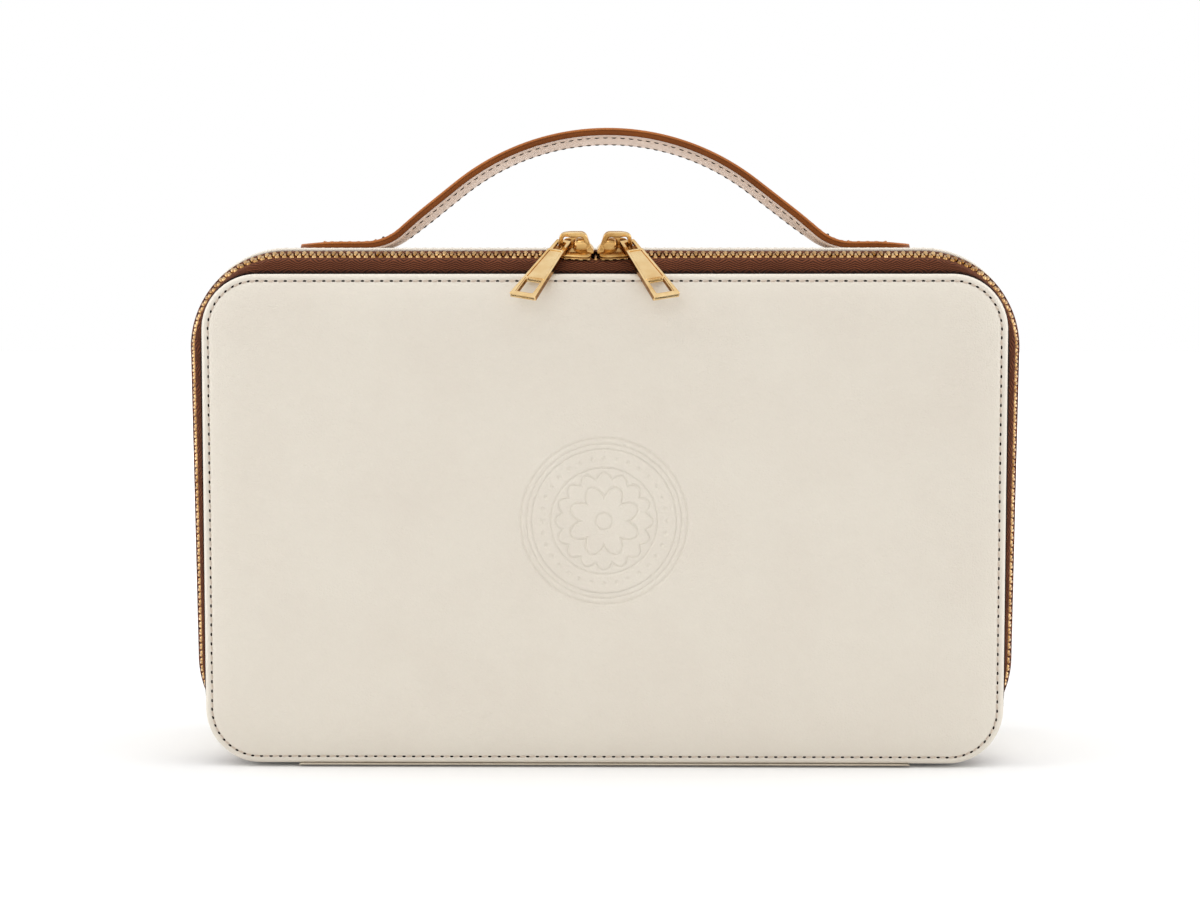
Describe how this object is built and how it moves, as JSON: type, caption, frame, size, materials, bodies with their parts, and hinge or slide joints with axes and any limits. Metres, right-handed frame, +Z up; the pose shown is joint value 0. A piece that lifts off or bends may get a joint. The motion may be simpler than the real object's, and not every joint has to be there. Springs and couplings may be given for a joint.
{
  "type": "mahjong case",
  "caption": "Zip-round leather clamshell case for mahjong tiles: padded cover on a spine hinge, deep shell with a tile tray, two zip sliders with pulls, and an arched strap handle.",
  "frame": {"origin": "on the table under the middle of the case, on the lower face of the spine strip's rear leaf", "axes": "X across the case, +Y from the front cover to the back panel, +Z up"},
  "size_m": [0.3026, 0.0931, 0.2346],
  "materials": {
    "cream_leather": "smooth fine-grained cream leather",
    "tan_leather": "tan vegetable leather with burnished edges",
    "strap_lining": "pale lining leather",
    "zip_tape": "dark brown herringbone tape",
    "gold_metal": "polished gold",
    "lining_fabric": "brushed microfibre",
    "board": "grey board",
    "foam": "thin padding",
    "tray_foam": "flocked moulded foam"
  },
  "bodies": {
    "shell": {"shell_gusset": "cream_leather", "back_panel": "cream_leather", "shell_frame": "board", "shell_lining": "lining_fabric", "tile_tray": "tray_foam", "rear_zip_tape": "zip_tape", "rear_teeth": "gold_metal", "rear_end_stops": "gold_metal", "spine_rear_leaf": "cream_leather", "handle_tab_left": "tan_leather", "handle_tab_right": "tan_leather"},
    "lid": {"lid_leather": "cream_leather", "lid_foam": "foam", "lid_board": "board", "lid_lining": "lining_fabric", "lid_pocket": "lining_fabric", "pocket_binding": "tan_leather", "front_zip_tape": "zip_tape", "front_teeth": "gold_metal", "front_end_stops": "gold_metal", "spine_front_leaf": "cream_leather"},
    "handle": {"handle_strap": "tan_leather", "handle_lining": "strap_lining"},
    "slider_left": {"slider_left_body": "gold_metal", "slider_left_crown": "gold_metal"},
    "slider_right": {"slider_right_body": "gold_metal", "slider_right_crown": "gold_metal"},
    "pull_left": {"pull_left": "gold_metal"},
    "pull_right": {"pull_right": "gold_metal"}
  },
  "joints": [
    {"name": "lid_hinge", "type": "hinge", "parent": "shell", "child": "lid", "pos_m": [0, -0.026, 0], "axis": [1, 0, 0], "range_deg": [0, 175], "deforming": ["front_teeth", "front_zip_tape", "rear_teeth", "rear_zip_tape"]},
    {"name": "slider_left_run", "type": "slide", "parent": "lid", "child": "slider_left", "axis": [-1, 0, 0], "range_m": [0, 0.095]},
    {"name": "slider_right_run", "type": "slide", "parent": "lid", "child": "slider_right", "axis": [1, 0, 0], "range_m": [0, 0.095]},
    {"name": "pull_left_lift", "type": "hinge", "parent": "slider_left", "child": "pull_left", "pos_m": [-0.01485, -0.02682, 0.19071], "axis": [-0.9074, 0.3932, 0.1482], "range_deg": [0, 50]},
    {"name": "pull_right_lift", "type": "hinge", "parent": "slider_right", "child": "pull_right", "pos_m": [0.00845, -0.02682, 0.19071], "axis": [-0.9074, -0.3932, -0.1482], "range_deg": [0, 50]},
    {"name": "handle_lean", "type": "hinge", "parent": "shell", "child": "handle", "pos_m": [0, 0.005, 0.1982], "axis": [1, 0, 0], "range_deg": [-23, 31], "stiffness_Nm_per_rad": 0.06}
  ]
}
